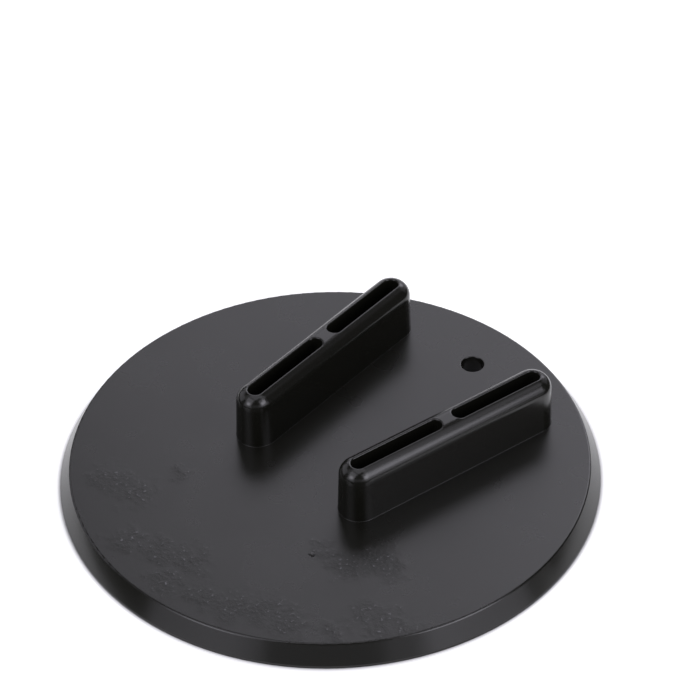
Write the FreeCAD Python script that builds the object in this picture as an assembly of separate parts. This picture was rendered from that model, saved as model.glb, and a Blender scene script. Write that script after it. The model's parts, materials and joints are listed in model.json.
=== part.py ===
import FreeCAD, Part
import math
import os

# Kickstand pad, moulded in one piece of black plastic: a round plate with a sloping rim, two
# rails that splay apart to guide the foot of a side stand, and a hole for a pull cord.
# Millimetres. The origin is the centre of the underside, +Z is up, and +X runs along the foot
# channel towards its wide end and the cord hole.

# Plate
base_diameter = 150.0
top_diameter = 144.0
plate_thickness = 6.0
rim_land = 0.8
top_edge_radius = 0.7

# Foot channel between the rails: the gap at the centres of the rails' round ends
channel_narrow_gap = 29.8
channel_wide_gap = 44.8
channel_narrow_x = -8.4
channel_wide_x = 50.5

# Rails, standing on the plate
rail_height = 16.4
rail_wall = 3.775
rail_draft_deg = 2.0
rail_crown_flat = 2.4
rail_foot_radius = 0.1

# Slots that core the rails from above, two in line in each rail
slot_width = 4.25
slot_bridge = 4.25
slot_draft_deg = 1.0
slot_edge_radius = 0.4
slot_floor_height = 0.0

# Cord hole, on the centre line of the channel
cord_diameter = 5.0
cord_clearance = 1.5
cord_hole_x = 55.8
cord_hole_edge_radius = 0.3

# Amount by which a solid runs into or past its neighbour, so that faces never just touch
overlap = 1.0

# Sizes that follow from those above
rail_half_width = slot_width / 2 + rail_wall
rail_narrow_y = channel_narrow_gap / 2 + rail_half_width
rail_wide_y = channel_wide_gap / 2 + rail_half_width
rail_run_x = channel_wide_x - channel_narrow_x
rail_run_y = rail_wide_y - rail_narrow_y
rail_half_run = math.hypot(rail_run_x, rail_run_y) / 2
rail_splay_deg = math.degrees(math.atan2(rail_run_y, rail_run_x))
rail_centre_x = (channel_narrow_x + channel_wide_x) / 2
rail_centre_y = (rail_narrow_y + rail_wide_y) / 2
cord_hole_radius = (cord_diameter + cord_clearance) / 2

UP = FreeCAD.Vector(0, 0, 1)
ORIGIN = FreeCAD.Vector(0, 0, 0)
SAME_POINT = 1e-6
ON_SURFACE = 0.02


def rounded_edges(corners):
    """Closed outline in the YZ plane from corners (y, z, radius); a radius rounds its corner."""
    runs = []
    for i, (y, z, radius) in enumerate(corners):
        here = FreeCAD.Vector(0, y, z)
        if radius == 0:
            runs.append((here, None, here))
            continue
        before = FreeCAD.Vector(0, *corners[i - 1][:2]) - here
        after = FreeCAD.Vector(0, *corners[(i + 1) % len(corners)][:2]) - here
        before.normalize()
        after.normalize()
        half_angle = before.getAngle(after) / 2
        reach = radius / math.tan(half_angle)
        inward = before + after
        inward.normalize()
        middle = here + inward * (radius / math.sin(half_angle) - radius)
        runs.append((here + before * reach, middle, here + after * reach))
    edges = []
    for i, (start, middle, end) in enumerate(runs):
        if middle is not None:
            edges.append(Part.Arc(start, middle, end).toShape())
        following = runs[(i + 1) % len(runs)][0]
        if end.distanceToPoint(following) > SAME_POINT:
            edges.append(Part.makeLine(end, following))
    return edges


def outline_face(corners):
    """Flat face bounded by the rounded outline."""
    return Part.Face(Part.Wire(rounded_edges(corners)))


def turned(corners):
    """Solid of revolution about Z."""
    return outline_face(corners).revolve(ORIGIN, UP, 360)


def oblong(corners, half_run):
    """Solid with a straight middle along X and half-round ends, from one half of its section."""
    half_section = outline_face(corners)
    shift = FreeCAD.Vector(half_run, 0, 0)
    near_end = half_section.revolve(ORIGIN, UP, 180)
    near_end.translate(-shift)
    far_end = half_section.revolve(ORIGIN, UP, -180)
    far_end.translate(shift)
    other_half = half_section.mirror(ORIGIN, FreeCAD.Vector(0, 1, 0))
    middles = []
    for face in (half_section, other_half):
        middle = face.extrude(shift * 2)
        middle.translate(-shift)
        middles.append(middle)
    return near_end.fuse(middles + [far_end]).removeSplitter()


def make_plate():
    """Round plate whose rim stands upright for a short way and then slopes in to the top."""
    base_radius = base_diameter / 2
    top_radius = top_diameter / 2
    return turned([
        (0, 0, 0),
        (base_radius, 0, 0),
        (base_radius, rim_land, 0),
        (top_radius, plate_thickness, top_edge_radius),
        (0, plate_thickness, 0),
    ])


def rail_body():
    """Uncored rail along X with its foot at Z = 0: drafted sides, rounded crown, filleted foot."""
    draft = math.radians(rail_draft_deg)
    half_top = rail_half_width - rail_height * math.tan(draft)
    crown_turn = math.pi / 2 - draft
    crown_radius = (half_top - rail_crown_flat / 2) / math.tan(crown_turn / 2)
    foot_reach = rail_foot_radius * math.tan(crown_turn / 2)
    return oblong([
        (0, -overlap, 0),
        (rail_half_width + foot_reach, -overlap, 0),
        (rail_half_width + foot_reach, 0, 0),
        (rail_half_width, 0, rail_foot_radius),
        (half_top, rail_height, crown_radius),
        (0, rail_height, 0),
    ], rail_half_run)


def slot_half_width(height):
    """Half the slot's width at a height above the plate; the slot narrows towards its floor."""
    return slot_width / 2 - (rail_height - height) * math.tan(math.radians(slot_draft_deg))


def slot_ends():
    """X of the end-arc centres of a slot, from the bridge outwards; the outer one is the rail's."""
    return slot_bridge / 2 + slot_width / 2, rail_half_run


def slot_tool():
    """Hollow of one slot, centred on X = 0."""
    inner, outer = slot_ends()
    above = rail_height + overlap
    return oblong([
        (0, slot_floor_height, 0),
        (slot_half_width(slot_floor_height), slot_floor_height, 0),
        (slot_half_width(above), above, 0),
        (0, above, 0),
    ], (outer - inner) / 2)


def on_slot_wall(point):
    """True where a point of the rail lies on the wall of either slot."""
    inner, outer = slot_ends()
    along = min(max(abs(point.x), inner), outer)
    away = math.hypot(abs(point.x) - along, point.y)
    return abs(away - slot_half_width(point.z)) < ON_SURFACE


def slot_rim_edges(rail):
    """Edges where the slots open through the crown."""
    rim = []
    for edge in rail.Edges:
        first, last = edge.ParameterRange
        points = [edge.valueAt(place) for place in (first, (first + last) / 2, last)]
        if all(point.z > rail_height / 2 and on_slot_wall(point) for point in points):
            rim.append(edge)
    return rim


def make_rail():
    """Cored rail along X, with the slot edges eased."""
    rail = rail_body()
    inner, outer = slot_ends()
    for side in (-1, 1):
        slot = slot_tool()
        slot.translate(FreeCAD.Vector(side * (inner + outer) / 2, 0, 0))
        rail = rail.cut(slot)
    return rail.makeFillet(slot_edge_radius, slot_rim_edges(rail))


def placed_rail(side):
    """Rail on the plate at one side of the channel, turned outwards by the splay."""
    rail = make_rail()
    rail.rotate(ORIGIN, UP, side * rail_splay_deg)
    rail.translate(FreeCAD.Vector(rail_centre_x, side * rail_centre_y, plate_thickness))
    return rail


def cord_hole_tool():
    """Hole for the cord, flared by the eased edge at the top of the plate."""
    flare = cord_hole_radius + cord_hole_edge_radius
    tool = turned([
        (0, -overlap, 0),
        (cord_hole_radius, -overlap, 0),
        (cord_hole_radius, plate_thickness, cord_hole_edge_radius),
        (flare, plate_thickness, 0),
        (flare, plate_thickness + overlap, 0),
        (0, plate_thickness + overlap, 0),
    ])
    tool.translate(FreeCAD.Vector(cord_hole_x, 0, 0))
    return tool


pad = make_plate().fuse([placed_rail(1), placed_rail(-1)])
pad = pad.cut(cord_hole_tool()).removeSplitter()
pad = pad.Solids[0]

os.makedirs("parts", exist_ok=True)
pad.exportStep("parts/kickstand_pad.step")
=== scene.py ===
import json
import math

import bpy
import bmesh
from mathutils import Matrix, Vector


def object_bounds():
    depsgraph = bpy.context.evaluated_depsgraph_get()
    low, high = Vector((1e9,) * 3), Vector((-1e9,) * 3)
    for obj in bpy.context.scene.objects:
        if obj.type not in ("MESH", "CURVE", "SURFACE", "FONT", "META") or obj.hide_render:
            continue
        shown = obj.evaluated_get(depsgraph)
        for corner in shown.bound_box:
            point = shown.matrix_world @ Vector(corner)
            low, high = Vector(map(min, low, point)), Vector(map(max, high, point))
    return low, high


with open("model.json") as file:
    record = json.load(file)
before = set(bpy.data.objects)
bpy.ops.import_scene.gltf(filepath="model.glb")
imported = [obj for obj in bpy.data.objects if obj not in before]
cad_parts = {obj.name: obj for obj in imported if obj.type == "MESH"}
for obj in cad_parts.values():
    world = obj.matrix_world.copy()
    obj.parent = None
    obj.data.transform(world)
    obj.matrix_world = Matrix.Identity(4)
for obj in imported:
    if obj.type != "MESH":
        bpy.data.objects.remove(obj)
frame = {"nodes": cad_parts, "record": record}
cad_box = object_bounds()

MM = 0.001

# The plate: its outer radius, the height of its flat top, and how near to that height the top ends
mounts = {mount["name"]: mount for mount in frame["record"]["mounts"]}
PAD_RADIUS = (cad_box[1][0] - cad_box[0][0]) / 2
PLATE_TOP = Vector(mounts["foot_seat"]["pos_m"]).z
TOP_TOLERANCE = 0.05 * MM

# Black plastic: its own colour and that of its rubbed flecks
PLASTIC_BLACK = "13130f"
FLECK_GREY = "525254"

# Roughness of the rails and the rim, of the plate's clouded top, and what rubbing adds to it
SMOOTH_ROUGHNESS = 0.20
SATIN_FINEST, SATIN_COARSEST = 0.24, 0.32
RUBBED_ROUGHNESS = 0.12

# How strongly the plastic bends light
PLASTIC_IOR = 1.5

# Surface of the moulding: the width and height of its marks, in millimetres
CLOUD_WIDTH = 14.0
CLOUD_HEIGHT = 0.015
GRAIN_WIDTH = 1.2
SCUFF_HEIGHT = 0.1
SCUFF_EDGE_WIDTH = 5.0
SCUFF_EDGE_SHIFT = 14.0

# How many finer layers lie over each pattern, and the middle of its range
NOISE_LAYERS = 3.0
NOISE_MIDDLE = (0.5, 0.5, 0.5)

# Share of the grain's range over which a fleck goes from black to pale
FLECK_START, FLECK_FULL = 0.62, 0.70

# Rubbed patches on the plate's top: the middle (x, y) and the radius of each, in millimetres
SCUFFS = [
    (-50, 35, 8), (-48, 26, 8), (-33, 24, 5), (-62, 13, 7), (-58, 3, 8), (-54, -5, 8), (-65, -6, 8),
    (-61, -18, 8), (-58, -25, 8), (-53, -31, 8), (-51, -40, 8), (-45, -50, 6), (-34, -51, 7),
    (-33, -57, 8), (-30, -62, 6), (-27, -28, 6), (-26, -35, 8), (-19, -39, 8), (-18, -45, 6),
]

# Small nib on the plate's top, a low swelling with a steep pit in its side: the middle (x, y), the radius
# and the height of both, in millimetres
NIB = [(-30.1, -25.1, 0.9, 0.13), (-30.15, -25.85, 0.7, -0.5)]

# Camera: turned round the pad to the photograph's viewing angle, with a long lens
VIEW_TURN = math.radians(-41.83)
VIEW_RISE = math.radians(42.71)
VIEW_DISTANCE = 769.0 * MM
VIEW_PAN = math.radians(0.47)
VIEW_TILT = math.radians(2.5)
VIEW_ROLL = math.radians(-1.02)
SENSOR_MM = 36.0
LENS_MM = 141.92

# White paper, lit from below outside the pad; under the pad it gets no glow, a painted dark disc that
# stands for shade in the pad's hole. Each piece has its left, right, front and back edge and its height, in
# millimetres from the pad's middle as the camera sees it, and whether the pad mirrors it
PURE_WHITE = "ffffff"
PAPER_WHITE = "cccccc"
PAPER_ROUGHNESS = 0.9
PAPER_GLOW = 0.6
PAPERS = {
    "sheet": (-95, 105, -85, 300, 0.0, True),
    "card": (125, 220, -120, -45, 0.0, True),
    "floor": (-4000, 4000, -4000, 4000, -0.5, False),
}

# Soft panels round the pad, on a dome. Each has its bearing (0 is the camera's right, 90 is straight
# behind the pad), its rise above the floor, its width and height, all in degrees, and its glow. A width
# is counted in bearing, so a panel gets narrower with its rise; one straight above keeps its full width
STUDIO_RADIUS = 2000.0 * MM
STUDIO_DIM = 0.03
STRAIGHT_ABOVE = 90
LIGHT_TINT = "f6f4ff"
PANELS = {
    "back_low": (75, 8, 70, 16, 0.8),
    "back_left": (86, 36, 26, 34, 1.6),
    "back_right": (58, 34, 30, 34, 3.1),
    "left_back": (112, 27, 26, 24, 1.3),
    "left_wing": (154, 20, 52, 34, 0.8),
    "left_side": (180, 50, 40, 30, 0.4),
    "left_low": (222, 8, 46, 14, 0.9),
    "left_box": (221, 40, 46, 50, 1.6),
    "left_lamp": (223, 26, 20, 20, 2.8),
    "right_wing": (30, 26, 26, 36, 0.4),
    "right_side": (350, 56, 40, 24, 0.9),
    "right_low": (326, 8, 40, 14, 1.2),
    "right_front": (298, 14, 18, 16, 0.6),
    "right_box": (318, 34, 40, 44, 1.2),
    "right_core": (331, 32, 16, 28, 2.9),
    "right_lamp": (314, 28, 20, 20, 4.0),
    "front_low": (270, 16, 46, 18, 0.3),
    "overhead": (0, STRAIGHT_ABOVE, 40, 40, 1.2),
}


def linear(hex_colour):
    """Linear colour from an sRGB hex string."""
    channels = []
    for start in (0, 2, 4):
        value = int(hex_colour[start:start + 2], 16) / 255
        channels.append(value / 12.92 if value <= 0.04045 else ((value + 0.055) / 1.055) ** 2.4)
    return (*channels, 1.0)


def add_node(tree, kind, settings=None, inputs=None):
    """Node with its settings; an input is a value or the output socket that feeds it."""
    node = tree.nodes.new(kind)
    for name, value in (settings or {}).items():
        setattr(node, name, value)
    for name, value in (inputs or {}).items():
        if isinstance(value, bpy.types.NodeSocket):
            tree.links.new(value, node.inputs[name])
        else:
            node.inputs[name].default_value = value
    return node


def per_metre(width_mm):
    """Texture scale that gives marks of this width."""
    return 1 / (width_mm * MM)


def new_material(name):
    """Empty node material with its output node."""
    material = bpy.data.materials.new(name)
    material.use_nodes = True
    material.node_tree.nodes.clear()
    return material, material.node_tree, material.node_tree.nodes.new("ShaderNodeOutputMaterial")


def scuff_mask(tree, place):
    """1 in the rubbed patches of the plate's top, fading out at their ragged edges."""
    wander = add_node(tree, "ShaderNodeTexNoise", inputs={
        "Vector": place, "Scale": per_metre(SCUFF_EDGE_WIDTH), "Detail": NOISE_LAYERS,
    }).outputs["Color"]
    centred = add_node(tree, "ShaderNodeVectorMath", {"operation": "SUBTRACT"}, {
        0: wander, 1: NOISE_MIDDLE,
    }).outputs["Vector"]
    ragged = add_node(tree, "ShaderNodeVectorMath", {"operation": "MULTIPLY_ADD"}, {
        0: centred, 1: (SCUFF_EDGE_SHIFT * MM, SCUFF_EDGE_SHIFT * MM, 0.0), 2: place,
    }).outputs["Vector"]
    mask = 0.0
    for x, y, radius in SCUFFS:
        away = add_node(tree, "ShaderNodeVectorMath", {"operation": "DISTANCE"}, {
            0: ragged, 1: (x * MM, y * MM, PLATE_TOP),
        }).outputs["Value"]
        patch = add_node(tree, "ShaderNodeMapRange", {"interpolation_type": "SMOOTHSTEP"}, {
            "Value": away, "From Min": 0.0, "From Max": radius * MM, "To Min": 1.0, "To Max": 0.0,
        }).outputs["Result"]
        mask = add_node(tree, "ShaderNodeMath", {"operation": "MAXIMUM"}, {
            0: patch, 1: mask,
        }).outputs["Value"]
    return mask


def nib_height(tree, place):
    """Height of the nib over the plate's top, in millimetres."""
    total = 0.0
    for x, y, radius, height in NIB:
        away = add_node(tree, "ShaderNodeVectorMath", {"operation": "DISTANCE"}, {
            0: place, 1: (x * MM, y * MM, PLATE_TOP),
        }).outputs["Value"]
        rise = add_node(tree, "ShaderNodeMapRange", {"interpolation_type": "SMOOTHSTEP"}, {
            "Value": away, "From Min": 0.0, "From Max": radius * MM, "To Min": height, "To Max": 0.0,
        }).outputs["Result"]
        total = add_node(tree, "ShaderNodeMath", {"operation": "ADD"}, {0: rise, 1: total}).outputs["Value"]
    return total


def moulded_plastic():
    """Black moulded ABS: a clouded satin on the plate's top, grainy where it is rubbed, and a smoother
    sheen on the rails and the rim. The grain is drawn coarser than the real one, so that it shows."""
    material, tree, output = new_material("moulded_black_abs")
    place = add_node(tree, "ShaderNodeTexCoord").outputs["Object"]
    height = add_node(tree, "ShaderNodeSeparateXYZ", inputs={"Vector": place}).outputs["Z"]
    on_top = add_node(tree, "ShaderNodeMath", {"operation": "COMPARE"}, {
        0: height, 1: PLATE_TOP, 2: TOP_TOLERANCE,
    }).outputs["Value"]
    scuffs = add_node(tree, "ShaderNodeMath", {"operation": "MULTIPLY"}, {
        0: scuff_mask(tree, place), 1: on_top,
    }).outputs["Value"]
    clouds = add_node(tree, "ShaderNodeTexNoise", inputs={
        "Vector": place, "Scale": per_metre(CLOUD_WIDTH), "Detail": NOISE_LAYERS,
    }).outputs["Fac"]
    grain = add_node(tree, "ShaderNodeTexNoise", inputs={
        "Vector": place, "Scale": per_metre(GRAIN_WIDTH), "Detail": NOISE_LAYERS,
    }).outputs["Fac"]

    satin = add_node(tree, "ShaderNodeMapRange", inputs={
        "Value": clouds, "To Min": SATIN_FINEST, "To Max": SATIN_COARSEST,
    }).outputs["Result"]
    rubbed = add_node(tree, "ShaderNodeMath", {"operation": "MULTIPLY_ADD"}, {
        0: scuffs, 1: RUBBED_ROUGHNESS, 2: satin,
    }).outputs["Value"]
    roughness = add_node(tree, "ShaderNodeMix", inputs={
        "Factor": on_top, "A": SMOOTH_ROUGHNESS, "B": rubbed,
    }).outputs["Result"]

    flecks = add_node(tree, "ShaderNodeMapRange", inputs={
        "Value": grain, "From Min": FLECK_START, "From Max": FLECK_FULL,
    }).outputs["Result"]
    pale = add_node(tree, "ShaderNodeMath", {"operation": "MULTIPLY"}, {
        0: flecks, 1: scuffs,
    }).outputs["Value"]
    colour = add_node(tree, "ShaderNodeMix", {"data_type": "RGBA"}, {
        "Factor": pale, 6: linear(PLASTIC_BLACK), 7: linear(FLECK_GREY),
    }).outputs[2]

    grain_height = add_node(tree, "ShaderNodeMath", {"operation": "MULTIPLY"}, {
        0: scuffs, 1: SCUFF_HEIGHT,
    }).outputs["Value"]
    waves = add_node(tree, "ShaderNodeMath", {"operation": "MULTIPLY_ADD"}, {
        0: clouds, 1: CLOUD_HEIGHT, 2: nib_height(tree, place),
    }).outputs["Value"]
    relief = add_node(tree, "ShaderNodeMath", {"operation": "MULTIPLY_ADD"}, {
        0: grain, 1: grain_height, 2: waves,
    }).outputs["Value"]
    bump = add_node(tree, "ShaderNodeBump", inputs={"Distance": MM, "Height": relief}).outputs["Normal"]

    shader = add_node(tree, "ShaderNodeBsdfPrincipled", inputs={
        "Base Color": colour, "Roughness": roughness, "IOR": PLASTIC_IOR, "Normal": bump,
    })
    tree.links.new(shader.outputs["BSDF"], output.inputs["Surface"])
    return material


def studio_paper():
    """Pale matt paper on a light table: it glows white and nearly shadowless outside the pad. Its glow
    stops at the pad's edge, so the paper under the pad is painted dark, as painted shade seen through the
    pad's hole.
    """
    material, tree, output = new_material("studio_paper")
    place = add_node(tree, "ShaderNodeTexCoord").outputs["Object"]
    from_middle = add_node(tree, "ShaderNodeVectorMath", {"operation": "LENGTH"}, {
        0: place,
    }).outputs["Value"]
    # Painted shade: the glow is cut off inside the pad's radius, so the paper seen through the pad's hole
    # stays dark
    glow = add_node(tree, "ShaderNodeMapRange", inputs={
        "Value": from_middle, "From Min": PAD_RADIUS, "From Max": PAD_RADIUS + MM, "To Max": PAPER_GLOW,
    }).outputs["Result"]
    shader = add_node(tree, "ShaderNodeBsdfPrincipled", inputs={
        "Base Color": linear(PAPER_WHITE), "Roughness": PAPER_ROUGHNESS,
        "Emission Color": linear(PURE_WHITE), "Emission Strength": glow,
    })
    tree.links.new(shader.outputs["BSDF"], output.inputs["Surface"])
    return material


def studio_point(right, back, up):
    """Place in the studio, given as the camera sees it."""
    return Matrix.Rotation(VIEW_TURN, 3, "Z") @ Vector((right, back, up))


def add_paper(name, material, left, right, front, back, level, mirrored):
    """Flat paper; one that isn't mirrored stays out of the pad's reflections."""
    mesh = bpy.data.meshes.new(name)
    bm = bmesh.new()
    corners = [(left, front), (right, front), (right, back), (left, back)]
    bm.faces.new([bm.verts.new(studio_point(*corner, level) * MM) for corner in corners])
    bm.to_mesh(mesh)
    bm.free()
    mesh.materials.append(material)
    paper = bpy.data.objects.new(name, mesh)
    paper.visible_glossy = mirrored
    bpy.context.scene.collection.objects.link(paper)


def add_panel(name, bearing, rise, width, height, glow):
    """Rectangular soft light on the dome, facing the pad."""
    turn = math.radians(bearing)
    up = math.sin(math.radians(rise))
    level = math.cos(math.radians(rise))
    across = 1.0 if rise == STRAIGHT_ABOVE else level
    direction = studio_point(level * math.cos(turn), level * math.sin(turn), up)
    light = bpy.data.lights.new(name, "AREA")
    light.shape = "RECTANGLE"
    light.size = 2 * STUDIO_RADIUS * math.tan(math.radians(width / 2)) * across
    light.size_y = 2 * STUDIO_RADIUS * math.tan(math.radians(height / 2))
    light.energy = math.pi * light.size * light.size_y * glow
    light.color = linear(LIGHT_TINT)[:3]
    lamp = bpy.data.objects.new(name, light)
    lamp.location = direction * STUDIO_RADIUS
    lamp.rotation_euler = (-direction).to_track_quat("-Z", "Y").to_euler()
    bpy.context.scene.collection.objects.link(lamp)


def add_camera():
    """Camera at the photograph's viewing angle."""
    back = studio_point(0, -math.cos(VIEW_RISE), math.sin(VIEW_RISE))
    right = studio_point(1, 0, 0)
    ahead = -back
    above = right.cross(ahead)
    ahead = (ahead + math.tan(VIEW_PAN) * right + math.tan(VIEW_TILT) * above).normalized()
    right = ahead.cross(Vector((0, 0, 1))).normalized()
    right.rotate(Matrix.Rotation(-VIEW_ROLL, 3, ahead))
    above = right.cross(ahead)
    turn = Matrix((right, above, -ahead)).transposed()
    data = bpy.data.cameras.new("camera")
    data.sensor_width = SENSOR_MM
    data.lens = LENS_MM
    camera = bpy.data.objects.new("camera", data)
    camera.matrix_world = Matrix.Translation(back * VIEW_DISTANCE) @ turn.to_4x4()
    bpy.context.scene.collection.objects.link(camera)
    bpy.context.scene.camera = camera


pad = frame["nodes"]["kickstand_pad"]
pad.data.materials[0] = moulded_plastic()

paper = studio_paper()
for name, setting in PAPERS.items():
    add_paper(name, paper, *setting)
for name, setting in PANELS.items():
    add_panel(name, *setting)

world = bpy.data.worlds.new("studio")
world.use_nodes = True
world.node_tree.nodes["Background"].inputs["Color"].default_value = linear(PURE_WHITE)
world.node_tree.nodes["Background"].inputs["Strength"].default_value = STUDIO_DIM
bpy.context.scene.world = world
bpy.context.scene.view_settings.view_transform = "Standard"

add_camera()
